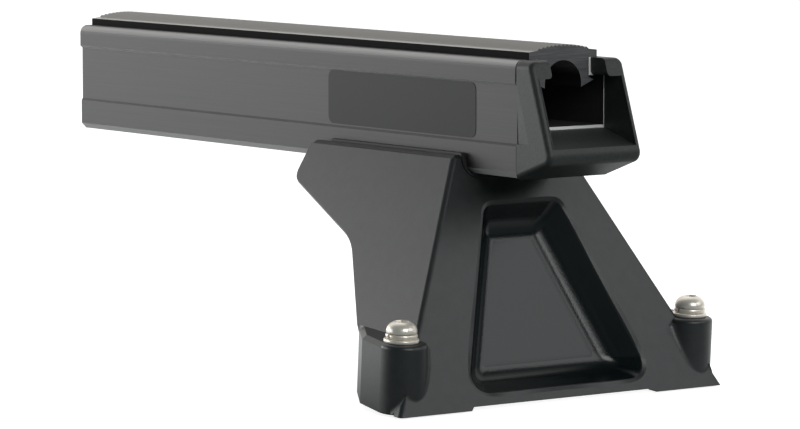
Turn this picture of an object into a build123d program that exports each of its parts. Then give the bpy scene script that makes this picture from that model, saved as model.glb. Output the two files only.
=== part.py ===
from build123d import *
import os
from math import cos, hypot, radians, sin, tan

# One end of a roof rack: an extruded crossbar with a rubber strip and an end cap, carried by a moulded leg.
# The origin lies on the base plane midway between the two base screws. +X runs outboard along the bar and
# +Z is up. Lengths are in millimetres and angles in degrees.

# Crossbar
bar_length = 278.0
bar_width = 40.0
bar_height = 40.0
bar_wall = 2.4
bar_top_radius = 3.0
bar_bottom_chamfer = 2.0
bar_seat_height = 76.4  # underside of the bar above the base
bar_end = 8.7  # outboard end of the bar
field_low = 11.7  # recessed field along each side of the bar
field_high = 32.1
field_depth = 0.95
field_step = 0.8
lower_band_inset = 0.4
web_top = 16.8
web_thickness = 2.0
top_slot_width = 22.2
top_flange = 2.4
slot_lip_drop = 6.2
slot_lip_thickness = 2.0
bottom_slot_width = 9.0
bottom_flange = 2.5

# Rubber strip
strip_width = 29.2
strip_edge_height = 2.5
strip_crown_height = 4.8
strip_neck_clearance = 0.3
strip_arch_radius = 7.8
strip_arch_cover = 0.6  # rubber left above the arch, below the bar's top
strip_leg_depth = 9.9
strip_barb_reach = 2.4
strip_barb_height = 2.2
strip_barb_clearance = 0.2
strip_rib_count = 13
strip_rib_pitch = 1.7
strip_rib_depth = 0.55

# End cap
cap_joint_gap = 0.15
cap_lean = 19.2
cap_top_depth = 7.3
cap_foot_drop = 0.5
cap_corner_radius = 3.5
cap_edge_radius = 2.0
cap_side_wall = 2.2
cap_shelf_height = 15.8
cap_shelf_fall = 16.0
cap_lip_gap = 23.8
cap_lip_thickness = 6.0
cap_lip_radius = 1.4
cap_plug_length = 12.0
cap_plug_wall = 2.0
cap_plug_clearance = 0.2
scallop_depth = 7.0  # how far the bar's side field runs out into the cap

# Leg
base_slope = 3.5  # the base follows a roof that falls away outboard
face_lean = 20.4
side_lean = 28.4
foot_front = 10.7  # outboard edge of the base
base_half_width = 69.4
leg_wall = 3.8
leg_edge_radius = 1.8
leg_back_chamfer = 1.2
cheek_height = 6.2  # how far the cheeks reach up the bar's sides
saddle_corner_radius = 5.5
saddle_floor = 5.0
arm_reach = 105.6
arm_end_rake = 1.5
arm_end_height = 13.6
arm_tip_radius = 5.0
arm_top_radius = 3.0
arm_slope = 20.0
knee_reach = 58.2
knee_radius = 26.0
back_slope = 48.3
relief_half_width = 40.0
relief_height = 1.2
relief_taper = 45.0
arm_rib_thickness = 3.0
arm_rib_spacing = 28.0
arm_rib_setback = 6.0

# Recess in the leg's outboard face
recess_top = 66.2
recess_bottom = 4.2
recess_top_half_width = 16.4
recess_bottom_half_width = 40.4
recess_depth = 10.0
recess_draft_inset = 7.0
recess_top_radius = 4.5
recess_bottom_radius = 6.5
recess_floor_radius = 3.0
recess_rim_chamfer = 0.8
recess_wall = 2.8

# Feet, one round ear at each base corner
screw_inset = 6.9  # from the base corner across to the screw
boss_radius = 8.2
boss_lead = 0.6  # the boss's round end stands outboard of its screw
boss_inset = 0.6  # and nearer to the middle
boss_height = 23.4
boss_chamfer = 1.5
ear_back = 16.4  # inboard outer corner of the ear
ear_back_inset = 3.0
ear_corner_radius = 2.0
ear_wall = 3.5
ear_roof = 6.0

# Saddle liner
liner_thickness = 1.6
liner_reach = 96.6
liner_stand = 0.8  # how far the liner stands above the cheeks
liner_side_clearance = 0.3
liner_seat_clearance = 0.1
liner_proud = 0.4  # how far it stands out of the outboard face

# Fasteners, all of the same thread
thread_diameter = 6.0
hole_clearance = 0.6
head_diameter = 10.5
head_height = 4.0
head_flat_diameter = 5.6
head_edge = 0.7
head_shoulder_diameter = 9.0
head_shoulder_height = 2.6
bolt_head_width = 10.0
bolt_head_height = 4.0
socket_width = 4.0
socket_depth = 2.0
base_screw_length = 25.0
spring_washer_diameter = 10.9
spring_washer_thickness = 1.8
spring_washer_slit = 1.0
spring_washer_slit_lean = 25.0
flat_washer_diameter = 12.0
flat_washer_thickness = 1.4
washer_bore_clearance = 0.4

# Clamp under the bar
clamp_outer_reach = 41.0
clamp_spacing = 44.0
clamp_pad_radius = 8.0
clamp_pad_height = 1.0
nut_length = 28.0
nut_thickness = 5.0
nut_side_clearance = 0.6
nut_thread_clearance = 0.1
bolt_end_stand = 1.5  # how far the clamp bolts stand past their nuts

pick_tolerance = 0.01  # for choosing edges by where they lie

# Worked out from the sizes above
bar_top = bar_seat_height + bar_height
half_bar = bar_width / 2
screw_y = base_half_width - screw_inset
cavity_half_width = half_bar - bar_wall
lower_half_bar = half_bar - lower_band_inset
face_run = tan(radians(face_lean))
side_run = tan(radians(side_lean))
base_run = tan(radians(base_slope))
cheek_top = bar_seat_height + cheek_height
saddle_half_width = half_bar + liner_side_clearance + liner_thickness + liner_seat_clearance
saddle_level = bar_seat_height - liner_thickness
clamp_seat = saddle_level - saddle_floor - clamp_pad_height
face_plane = Plane(
    origin=(foot_front, 0, 0),
    x_dir=(0, 1, 0),
    z_dir=(cos(radians(face_lean)), 0, sin(radians(face_lean))),
)
base_plane = Plane.XY.rotated((0, base_slope, 0))
boss_plane = base_plane.offset(boss_height)
clamp_xs = {"outer": -clamp_outer_reach, "inner": -clamp_outer_reach - clamp_spacing}
sides = {"left": -1, "right": 1}


def face_x(height):
    """Outboard face of the leg at a height."""
    return foot_front - face_run * height


def side_y(height):
    """Half width of the leg's trapezoid at a height."""
    return base_half_width - side_run * height


def boss_level(x):
    """Height of the ears' sloping top at a distance along X."""
    return boss_height / cos(radians(base_slope)) - x * base_run


# Crossbar: two chambers, a lipped slot along the top and a plain slot along the bottom
with BuildPart() as crossbar:
    with BuildSketch(Plane.YZ.offset(bar_end)):
        with BuildLine():
            step_in = half_bar - field_depth
            outline = Polyline(
                (0, bar_seat_height),
                (lower_half_bar - bar_bottom_chamfer, bar_seat_height),
                (lower_half_bar, bar_seat_height + bar_bottom_chamfer),
                (lower_half_bar, bar_seat_height + field_low - field_step),
                (step_in, bar_seat_height + field_low),
                (step_in, bar_seat_height + field_high - field_step),
                (half_bar, bar_seat_height + field_high),
                (half_bar, bar_top - bar_top_radius),
            )
            corner = RadiusArc(outline @ 1, (half_bar - bar_top_radius, bar_top), -bar_top_radius)
            Polyline(corner @ 1, (0, bar_top), (0, bar_seat_height))
        make_face()
        with BuildLine():
            lip_inner = top_slot_width / 2
            lip_outer = lip_inner + slot_lip_thickness
            lip_foot = bar_top - slot_lip_drop
            Polyline(
                (0, bar_seat_height + web_top),
                (cavity_half_width, bar_seat_height + web_top),
                (cavity_half_width, bar_top - top_flange),
                (lip_outer, bar_top - top_flange),
                (lip_outer, lip_foot),
                (lip_inner, lip_foot),
                (lip_inner, bar_top),
                (0, bar_top),
                close=True,
            )
        make_face(mode=Mode.SUBTRACT)
        with BuildLine():
            Polyline(
                (0, bar_seat_height),
                (bottom_slot_width / 2, bar_seat_height),
                (bottom_slot_width / 2, bar_seat_height + bottom_flange),
                (cavity_half_width, bar_seat_height + bottom_flange),
                (cavity_half_width, bar_seat_height + web_top - web_thickness),
                (0, bar_seat_height + web_top - web_thickness),
                close=True,
            )
        make_face(mode=Mode.SUBTRACT)
        mirror(about=Plane.YZ)
    extrude(amount=-bar_length)

# Rubber strip: a ribbed crown on two barbed legs that snap under the slot's lips
with BuildPart() as rubber_strip:
    with BuildSketch(Plane.YZ.offset(bar_end)):
        half_strip = strip_width / 2
        neck = top_slot_width / 2 - strip_neck_clearance
        arch_top = bar_top - strip_arch_cover
        arch_spring = arch_top - strip_arch_radius
        leg_foot = bar_top - strip_leg_depth
        barb_top = bar_top - slot_lip_drop - strip_barb_clearance
        ribbed_half = strip_rib_count * strip_rib_pitch / 2

        def crown(y):
            """Height of the smooth crown, a parabola between the strip's edges."""
            fall = strip_crown_height - strip_edge_height
            return bar_top + strip_crown_height - fall * (y / half_strip) ** 2

        ribs = []
        for rib in range(strip_rib_count):
            valley = ribbed_half - rib * strip_rib_pitch
            crest = valley - strip_rib_pitch / 2
            ribs.append((valley, crown(valley) - strip_rib_depth))
            ribs.append((crest, crown(crest)))
        ribs.append((-ribbed_half, crown(ribbed_half) - strip_rib_depth))
        with BuildLine():
            arch = ThreePointArc(
                (-strip_arch_radius, arch_spring), (0, arch_top), (strip_arch_radius, arch_spring)
            )
            leg_side = [
                (strip_arch_radius, leg_foot),
                (neck + strip_barb_reach, leg_foot + strip_barb_height),
                (neck, barb_top),
                (neck, bar_top),
                (half_strip, bar_top),
                (half_strip, bar_top + strip_edge_height),
            ]
            Polyline(arch @ 1, *leg_side, *ribs, *[(-y, z) for y, z in reversed(leg_side)], arch @ 0)
        make_face()
    extrude(amount=-bar_length)

# End cap: a leaning frame on the bar's end, open at its mouth, with a hollow foot that plugs into the bar
cap_back = bar_end + cap_joint_gap
cap_foot = bar_seat_height - cap_foot_drop
cap_run = tan(radians(cap_lean))
cap_nose = (cap_top_depth + (bar_top - cap_foot) * cap_run) / (1 + cap_run**2)
cap_lip_level = bar_top - cap_lip_thickness
shelf_back = bar_seat_height + cap_shelf_height
shelf_run = tan(radians(cap_shelf_fall))
cap_mouth = cap_nose + cap_corner_radius

with BuildPart() as end_cap:
    with BuildSketch(Plane.XZ):
        with BuildLine():
            Polyline(
                (cap_back, cap_foot),
                (cap_back + cap_nose, cap_foot + cap_nose * cap_run),
                (cap_back + cap_top_depth, bar_top),
                (cap_back, bar_top),
                close=True,
            )
        make_face()
        fillet(vertices().sort_by(Axis.X)[-1], radius=cap_corner_radius)
    extrude(amount=half_bar, both=True)
    top_edges = edges().filter_by(Axis.X).group_by(Axis.Z)[-1]
    fillet(top_edges, radius=bar_top_radius)
    nose_face = faces().sort_by(Axis.X)[-1]
    round_face = faces().filter_by(GeomType.CYLINDER).sort_by(Axis.Z)[0]
    foot_face = faces().sort_by(Axis.Z)[0]
    rim_edges = ShapeList(nose_face.edges() + round_face.edges() + foot_face.edges())
    side_edges = rim_edges.filter_by(Axis.Y, reverse=True)
    side_edges = side_edges.filter_by(lambda e: e.center().X > cap_back + pick_tolerance)
    fillet(side_edges, radius=cap_edge_radius)
    # Mouth under the lips, then the gap between them
    for half_gap, ceiling in (
        (half_bar - cap_side_wall, cap_lip_level),
        (cap_lip_gap / 2, bar_top + cap_corner_radius),
    ):
        with BuildSketch(Plane.XZ):
            with BuildLine():
                Polyline(
                    (cap_back - cap_joint_gap, shelf_back + cap_joint_gap * shelf_run),
                    (cap_back + cap_mouth, shelf_back - cap_mouth * shelf_run),
                    (cap_back + cap_mouth, ceiling),
                    (cap_back - cap_joint_gap, ceiling),
                    close=True,
                )
            make_face()
        extrude(amount=half_gap, both=True, mode=Mode.SUBTRACT)
    lip_corners = edges().filter_by(Axis.X).filter_by_position(
        Axis.Z, cap_lip_level - pick_tolerance, cap_lip_level + pick_tolerance
    )
    fillet(lip_corners.filter_by_position(Axis.Y, -cap_lip_gap / 2, cap_lip_gap / 2), radius=cap_lip_radius)
    # The bar's side field runs out into the cap's sides, along a line that leans with the nose
    with BuildSketch(Plane.XY.offset(bar_seat_height + field_low)):
        with BuildLine():
            Polyline(
                (bar_end, half_bar),
                (cap_back + scallop_depth, half_bar),
                (bar_end, half_bar - field_depth),
                close=True,
            )
        make_face()
        mirror(about=Plane.XZ)
    extrude(
        amount=(field_high - field_low) / cos(radians(cap_lean)),
        dir=(-sin(radians(cap_lean)), 0, cos(radians(cap_lean))),
        mode=Mode.SUBTRACT,
    )
    # Hollow foot and the tube that plugs into the bar's lower chamber
    plug_half = cavity_half_width - cap_plug_clearance
    plug_low = bar_seat_height + bottom_flange + cap_plug_clearance
    plug_high = bar_seat_height + web_top - web_thickness - cap_plug_clearance
    with BuildSketch(Plane.YZ.offset(cap_back)):
        with Locations((0, (plug_low + plug_high) / 2)):
            Rectangle(2 * plug_half, plug_high - plug_low)
    extrude(amount=-cap_plug_length)
    with BuildSketch(Plane.YZ.offset(cap_back - cap_plug_length)):
        with Locations((0, (plug_low + plug_high) / 2)):
            Rectangle(2 * (plug_half - cap_plug_wall), plug_high - plug_low - 2 * cap_plug_wall)
    extrude(amount=cap_plug_length + cap_nose / 2, mode=Mode.SUBTRACT)

# Leg: the side outline, cut below the ears to a plain leaning front plate
under = leg_wall  # the outlines run this far below the base before they are trimmed to it
floor_underside = saddle_level - saddle_floor
tip_level = cheek_top - arm_end_height
knee_level = tip_level - (arm_reach + arm_end_rake - knee_reach) * tan(radians(arm_slope))
back_run = 1 / tan(radians(back_slope))
back_reach = knee_reach - (knee_level - boss_level(-knee_reach)) * back_run / (1 - back_run * base_run)
back_level = boss_level(-back_reach)
plate_back = foot_front - leg_wall / cos(radians(face_lean))
plate_level = (boss_level(0) - base_run * plate_back) / (1 - base_run * face_run)
inner_inset = leg_wall / cos(radians(side_lean))

# Hollow of the leg, open below and inboard
with BuildPart() as leg_hollow:
    with BuildSketch(Plane.XZ):
        with BuildLine():
            Polyline(
                (plate_back + face_run * under, -under),
                (plate_back - face_run * floor_underside, floor_underside),
                (-arm_reach + leg_wall, floor_underside),
                (-arm_reach + leg_wall, -under),
                close=True,
            )
        make_face()
    extrude(amount=base_half_width, both=True)
    with BuildSketch(Plane.YZ):
        with BuildLine():
            Polyline(
                (-side_y(-under) + inner_inset, -under),
                (side_y(-under) - inner_inset, -under),
                (side_y(floor_underside) - inner_inset, floor_underside),
                (-side_y(floor_underside) + inner_inset, floor_underside),
                close=True,
            )
        make_face()
    extrude(amount=2 * arm_reach, both=True, mode=Mode.INTERSECT)

# Ears: a round boss for each base screw, square to the base, drawn back to the leg's side and cored below
with BuildPart() as ears:
    with BuildSketch(base_plane.offset(-under)) as ear_outline:
        with Locations((boss_lead, screw_y - boss_inset)):
            Circle(boss_radius)
        with Locations(
            (-ear_back, base_half_width - ear_back_inset - ear_corner_radius),
            (-back_reach + ear_corner_radius, side_y(back_level) - ear_corner_radius),
        ):
            Circle(ear_corner_radius)
        make_hull()
    extrude(amount=under + boss_height)
    top_face = faces().sort_by(Axis.Z)[-1]
    chamfer(
        top_face.edges().filter_by(lambda e: e.center().Y > side_y(boss_height) or e.center().X > 0),
        length=boss_chamfer,
    )
    with BuildSketch(base_plane.offset(-under)):
        offset(ear_outline.sketch, amount=-ear_wall)
        with Locations((0, screw_y)):
            Circle(thread_diameter / 2 + hole_clearance + ear_wall, mode=Mode.SUBTRACT)
    extrude(amount=under + boss_height - ear_roof, mode=Mode.SUBTRACT)
    mirror(about=Plane.XZ)


def recess_body(grow, depth):
    """The drafted recess sunk to a depth below the outboard face. One grown by a wall has plain corners."""
    slope = (recess_bottom_half_width - recess_top_half_width) / (recess_top - recess_bottom)
    slope *= cos(radians(face_lean))
    inset = recess_draft_inset * depth / recess_depth
    with BuildPart() as body:
        for level, shrink, top_radius, bottom_radius in (
            (0, -grow, recess_top_radius, recess_bottom_radius),
            (-depth, inset - grow, recess_floor_radius, recess_floor_radius),
        ):
            high = recess_top / cos(radians(face_lean)) - shrink
            low = recess_bottom / cos(radians(face_lean)) + shrink
            pull = shrink * hypot(1, slope)
            half_high = recess_top_half_width + slope * shrink - pull
            half_low = recess_bottom_half_width - slope * shrink - pull
            with BuildSketch(face_plane.offset(level)) as outline:
                with BuildLine():
                    Polyline(
                        (-half_low, low), (half_low, low), (half_high, high), (-half_high, high), close=True
                    )
                make_face()
                if not grow:
                    fillet(outline.vertices().group_by(Axis.Y)[0], radius=bottom_radius)
                    fillet(outline.vertices().group_by(Axis.Y)[-1], radius=top_radius)
        loft(ruled=True)
    return body.part


def side_rims(body):
    """Edges of the leg's two side faces, above the ears."""
    flanks = body.faces().filter_by(lambda f: abs(f.normal_at().Y) > hypot(f.normal_at().X, f.normal_at().Z))
    rims = ShapeList(e for f in flanks for e in f.edges())
    return rims.filter_by(lambda e: e.center().Z > boss_level(e.center().X) + under)


recess_shell = recess_body(recess_wall, recess_depth + recess_wall)
recess_pocket = recess_body(0, recess_depth)

with BuildPart() as leg:
    with BuildSketch(Plane.XZ) as side_outline:
        with BuildLine():
            Polyline(
                (foot_front + face_run * under, -under),
                (face_x(cheek_top), cheek_top),
                (-arm_reach, cheek_top),
                (-arm_reach - arm_end_rake, tip_level),
                (-knee_reach, knee_level),
                (-back_reach, back_level),
                (plate_back - face_run * plate_level, plate_level),
                (plate_back + face_run * under, -under),
                close=True,
            )
        make_face()
        for x, z, radius in (
            (-arm_reach, cheek_top, arm_top_radius),
            (-arm_reach - arm_end_rake, tip_level, arm_tip_radius),
            (-knee_reach, knee_level, knee_radius),
        ):
            fillet(side_outline.vertices().sort_by_distance((x, z))[0], radius=radius)
    extrude(amount=base_half_width + under, both=True)
    with BuildSketch(Plane.YZ):
        with BuildLine():
            Polyline(
                (-side_y(-under), -under),
                (side_y(-under), -under),
                (side_y(cheek_top), cheek_top),
                (-side_y(cheek_top), cheek_top),
                close=True,
            )
        make_face()
    extrude(amount=2 * arm_reach, both=True, mode=Mode.INTERSECT)
    front_rims = side_rims(leg.part).filter_by(lambda e: e.center().X > face_x(e.center().Z) - pick_tolerance)
    fillet(front_rims, radius=leg_edge_radius)
    back_rims = side_rims(leg.part).filter_by(
        lambda e: e.center().X < face_x(e.center().Z) - 2 * leg_edge_radius
    )
    chamfer(back_rims, length=leg_back_chamfer)
    add(leg_hollow.part, mode=Mode.SUBTRACT)
    add(ears.part)
    # Two ribs along the arm and one across it, set back from the open underside
    rib_level = knee_level + arm_rib_setback
    rib_rise = (tip_level + arm_rib_setback - floor_underside) / tan(radians(arm_slope))
    rib_start = rib_rise - arm_reach - arm_end_rake
    for rib_y in (-arm_rib_spacing / 2, arm_rib_spacing / 2):
        with BuildSketch(Plane.XZ.offset(-rib_y)):
            with BuildLine():
                Polyline(
                    (rib_start, floor_underside),
                    (-knee_reach, rib_level),
                    (plate_back - face_run * rib_level, rib_level),
                    (plate_back - face_run * floor_underside, floor_underside),
                    close=True,
                )
            make_face()
        extrude(amount=arm_rib_thickness / 2, both=True)
    with BuildSketch(Plane.YZ.offset(-clamp_outer_reach - clamp_spacing / 2)):
        with BuildLine():
            Polyline(
                (-side_y(rib_level) + inner_inset, rib_level),
                (side_y(rib_level) - inner_inset, rib_level),
                (side_y(floor_underside) - inner_inset, floor_underside),
                (-side_y(floor_underside) + inner_inset, floor_underside),
                close=True,
            )
        make_face()
    extrude(amount=arm_rib_thickness / 2, both=True)
    # Recessed panel in the outboard face
    add(recess_shell)
    add(recess_pocket, mode=Mode.SUBTRACT)
    face_edges = edges().filter_by(lambda e: abs(face_plane.to_local_coords(e).center().Z) < pick_tolerance)
    rim = face_edges.filter_by(
        lambda e: abs(e.center().Y) < recess_bottom_half_width + pick_tolerance
        and recess_bottom - pick_tolerance < e.center().Z < recess_top + pick_tolerance
    )
    chamfer(rim, length=recess_rim_chamfer)
    # Saddle for the bar and its liner
    with BuildSketch(Plane.YZ):
        with Locations((0, saddle_level + bar_height / 2)):
            Rectangle(2 * saddle_half_width, bar_height)
        fillet(vertices().group_by(Axis.Y)[0], radius=saddle_corner_radius)
    extrude(amount=2 * arm_reach, both=True, mode=Mode.SUBTRACT)
    # Clamp bolt pads and holes
    with BuildSketch(Plane.XY.offset(clamp_seat)):
        with Locations(*[(x, 0) for x in clamp_xs.values()]):
            Circle(clamp_pad_radius)
    extrude(amount=clamp_pad_height)
    with BuildSketch(Plane.XY.offset(clamp_seat)):
        with Locations(*[(x, 0) for x in clamp_xs.values()]):
            Circle(thread_diameter / 2 + hole_clearance / 2)
    extrude(amount=clamp_pad_height + saddle_floor + liner_thickness, mode=Mode.SUBTRACT)
    # Screw holes and spot faces in the ears
    with BuildSketch(boss_plane):
        with GridLocations(screw_y, 2 * screw_y, 1, 2):
            Circle(thread_diameter / 2 + hole_clearance / 2)
    extrude(amount=-2 * boss_height, mode=Mode.SUBTRACT)
    with BuildSketch(boss_plane):
        with GridLocations(screw_y, 2 * screw_y, 1, 2):
            Circle(flat_washer_diameter / 2 + hole_clearance)
    extrude(amount=flat_washer_thickness + spring_washer_thickness, mode=Mode.SUBTRACT)
    # The base is trimmed flat and relieved between its two feet
    split(bisect_by=base_plane, keep=Keep.TOP)
    with BuildSketch(base_plane):
        Rectangle(2 * arm_reach, 2 * relief_half_width)
    extrude(amount=relief_height, taper=relief_taper, mode=Mode.SUBTRACT)

# Saddle liner: a rubber channel between the bar and the leg, trimmed level with the outboard face
with BuildPart() as saddle_liner:
    liner_top = cheek_top + liner_stand
    with BuildSketch(Plane.YZ.offset(-liner_reach)):
        with Locations((0, (saddle_level + liner_top) / 2)):
            Rectangle(2 * (saddle_half_width - liner_seat_clearance), liner_top - saddle_level)
        fillet(vertices().group_by(Axis.Y)[0], radius=saddle_corner_radius)
        with BuildSketch(mode=Mode.PRIVATE) as bar_room:
            with Locations((0, bar_seat_height + bar_height / 2)):
                Rectangle(2 * (half_bar + liner_side_clearance), bar_height)
            fillet(bar_room.vertices().group_by(Axis.Y)[0], radius=bar_bottom_chamfer)
        add(bar_room.sketch, mode=Mode.SUBTRACT)
    extrude(amount=2 * liner_reach)
    split(bisect_by=face_plane.offset(liner_proud), keep=Keep.BOTTOM)
    with BuildSketch(Plane.XY.offset(saddle_level)):
        with Locations(*[(x, 0) for x in clamp_xs.values()]):
            Circle(thread_diameter / 2 + hole_clearance / 2)
    extrude(amount=liner_thickness, mode=Mode.SUBTRACT)


# Fasteners: each is drawn on its seat plane, with the head on the plane's upper side
def button_screw(seat, length):
    """A button-head socket screw, turned about the seat's axis."""
    half_plane = Plane(origin=seat.origin, x_dir=seat.x_dir, z_dir=-seat.y_dir)
    shank = thread_diameter / 2
    with BuildPart() as screw:
        with BuildSketch(half_plane):
            with BuildLine():
                Polyline(
                    (0, head_height),
                    (0, -length),
                    (shank, -length),
                    (shank, 0),
                    (head_diameter / 2, 0),
                    (head_diameter / 2, head_edge),
                    (head_shoulder_diameter / 2, head_shoulder_height),
                    (head_flat_diameter / 2, head_height),
                    close=True,
                )
            make_face()
        revolve(axis=Axis(seat.origin, seat.z_dir))
        with BuildSketch(seat.offset(head_height)):
            RegularPolygon(radius=socket_width / 2, side_count=6, major_radius=False)
        extrude(amount=-socket_depth, mode=Mode.SUBTRACT)
    return screw.part


def hex_bolt(seat, length):
    """A hexagon-head bolt."""
    with BuildPart() as bolt:
        with BuildSketch(seat):
            RegularPolygon(radius=bolt_head_width / 2, side_count=6, major_radius=False)
        extrude(amount=bolt_head_height)
        with BuildSketch(seat):
            Circle(thread_diameter / 2)
        extrude(amount=-length)
    return bolt.part


def ring(seat, diameter, thickness):
    """A flat washer standing on its seat."""
    with BuildPart() as washer:
        with BuildSketch(seat):
            Circle(diameter / 2)
            Circle(thread_diameter / 2 + washer_bore_clearance, mode=Mode.SUBTRACT)
        extrude(amount=thickness)
    return washer.part


def spring_ring(seat):
    """A spring washer pressed flat: a ring with one leaning slit."""
    slit_plane = Plane(origin=seat.origin, x_dir=seat.x_dir, z_dir=-seat.y_dir)
    lean = spring_washer_thickness * tan(radians(spring_washer_slit_lean)) / 2
    with BuildPart() as washer:
        with BuildSketch(seat):
            Circle(spring_washer_diameter / 2)
            Circle(thread_diameter / 2 + washer_bore_clearance, mode=Mode.SUBTRACT)
        extrude(amount=spring_washer_thickness)
        with BuildSketch(slit_plane):
            with BuildLine():
                Polyline(
                    (-spring_washer_slit / 2 - lean, 0),
                    (spring_washer_slit / 2 - lean, 0),
                    (spring_washer_slit / 2 + lean, spring_washer_thickness),
                    (-spring_washer_slit / 2 + lean, spring_washer_thickness),
                    close=True,
                )
            make_face()
        extrude(amount=spring_washer_diameter, mode=Mode.SUBTRACT)
    return washer.part


pieces = {
    "leg": leg.part,
    "saddle_liner": saddle_liner.part,
    "crossbar": crossbar.part,
    "rubber_strip": rubber_strip.part,
    "end_cap": end_cap.part,
}


def add_fastener(kind, place, seat, length):
    """A screw with its spring washer and flat washer, stacked up from the seat."""
    pieces[f"{kind}_flat_washer_{place}"] = ring(seat, flat_washer_diameter, flat_washer_thickness)
    pieces[f"{kind}_spring_washer_{place}"] = spring_ring(seat.offset(flat_washer_thickness))
    head_seat = seat.offset(flat_washer_thickness + spring_washer_thickness)
    if kind == "base":
        pieces[f"base_screw_{place}"] = button_screw(head_seat, length)
    else:
        pieces[f"clamp_bolt_{place}"] = hex_bolt(head_seat, length)


for place, side in sides.items():
    boss_seat = boss_plane.shift_origin(boss_plane.from_local_coords((0, side * screw_y)))
    add_fastener("base", place, boss_seat, base_screw_length)

nut_level = bar_seat_height + bottom_flange
clamp_grip = nut_level + nut_thickness + bolt_end_stand - clamp_seat
clamp_length = clamp_grip + flat_washer_thickness + spring_washer_thickness
for place, x in clamp_xs.items():
    clamp_plane = Plane(origin=(x, 0, clamp_seat), x_dir=(1, 0, 0), z_dir=(0, 0, -1))
    add_fastener("clamp", place, clamp_plane, clamp_length)
    # Channel nut: a plate inside the bar's lower chamber, drawn down on the bar's bottom flanges
    with BuildPart() as channel_nut:
        with BuildSketch(Plane.XY.offset(nut_level)):
            with Locations((x, 0)):
                Rectangle(nut_length, 2 * (cavity_half_width - nut_side_clearance))
                Circle(thread_diameter / 2 + nut_thread_clearance, mode=Mode.SUBTRACT)
        extrude(amount=nut_thickness)
    pieces[f"channel_nut_{place}"] = channel_nut.part

os.makedirs("parts", exist_ok=True)
for name, piece in pieces.items():
    piece.label = name
    export_step(piece, f"parts/{name}.step")
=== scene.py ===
import math

import bpy
import numpy as np
from mathutils import Matrix


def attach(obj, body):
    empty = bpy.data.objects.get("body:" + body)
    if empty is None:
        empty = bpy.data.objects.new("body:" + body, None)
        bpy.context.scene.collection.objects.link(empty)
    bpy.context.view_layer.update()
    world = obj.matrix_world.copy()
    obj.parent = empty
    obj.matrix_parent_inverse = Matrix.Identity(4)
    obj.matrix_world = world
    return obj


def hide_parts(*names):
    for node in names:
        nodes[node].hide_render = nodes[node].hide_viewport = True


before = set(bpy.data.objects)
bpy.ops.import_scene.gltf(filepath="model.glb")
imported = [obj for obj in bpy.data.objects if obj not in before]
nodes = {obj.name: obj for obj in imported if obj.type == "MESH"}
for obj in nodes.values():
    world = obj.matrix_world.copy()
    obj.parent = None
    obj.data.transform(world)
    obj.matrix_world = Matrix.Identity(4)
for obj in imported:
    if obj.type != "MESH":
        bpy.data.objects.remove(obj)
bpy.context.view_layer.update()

# Leg: glass-filled black nylon, moulded in one piece with its ears and its recessed panel, and held down by
# a screw in each ear. The skin is satin with a fine grain and a faint cloudiness, and the recess is polished
# and carries painted shade that darkens its walls.

# Grain that the mould leaves, on the end cap too: a fine even noise in the piece's own coordinates, turned
# into a shallow bump.
grain = bpy.data.node_groups.new("mould_grain", "ShaderNodeTree")
grain.interface.new_socket("Scale", in_out="INPUT", socket_type="NodeSocketFloat")
grain.interface.new_socket("Depth", in_out="INPUT", socket_type="NodeSocketFloat")
grain.interface.new_socket("Normal", in_out="OUTPUT", socket_type="NodeSocketVector")
grain_in = grain.nodes.new("NodeGroupInput")
grain_out = grain.nodes.new("NodeGroupOutput")
grain_place = grain.nodes.new("ShaderNodeTexCoord")
grain_noise = grain.nodes.new("ShaderNodeTexNoise")
grain_noise.inputs["Detail"].default_value = 3.0
grain_bump = grain.nodes.new("ShaderNodeBump")
grain_bump.inputs["Distance"].default_value = 0.0001
grain.links.new(grain_place.outputs["Object"], grain_noise.inputs["Vector"])
grain.links.new(grain_in.outputs["Scale"], grain_noise.inputs["Scale"])
grain.links.new(grain_in.outputs["Depth"], grain_bump.inputs["Strength"])
grain.links.new(grain_noise.outputs["Fac"], grain_bump.inputs["Height"])
grain.links.new(grain_bump.outputs["Normal"], grain_out.inputs["Normal"])

leg_look = bpy.data.materials.new("leg_plastic")
leg_look.use_nodes = True
leg_tree = leg_look.node_tree
leg_bsdf = leg_tree.nodes["Principled BSDF"]
leg_bsdf.inputs["IOR"].default_value = 1.5
leg_place = leg_tree.nodes.new("ShaderNodeTexCoord")
leg_cloud = leg_tree.nodes.new("ShaderNodeTexNoise")
leg_cloud.inputs["Scale"].default_value = 260
leg_cloud.inputs["Detail"].default_value = 4.0
leg_ramp = leg_tree.nodes.new("ShaderNodeValToRGB")
leg_ramp.color_ramp.elements[0].position = 0.3
leg_ramp.color_ramp.elements[0].color = (0.028, 0.031, 0.032, 1)
leg_ramp.color_ramp.elements[1].position = 0.7
leg_ramp.color_ramp.elements[1].color = (0.036, 0.039, 0.040, 1)
leg_grain = leg_tree.nodes.new("ShaderNodeGroup")
leg_grain.node_tree = grain
leg_grain.inputs["Scale"].default_value = 1500
leg_grain.inputs["Depth"].default_value = 0.35
leg_tree.links.new(leg_place.outputs["Object"], leg_cloud.inputs["Vector"])
leg_tree.links.new(leg_cloud.outputs["Fac"], leg_ramp.inputs["Fac"])
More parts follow.
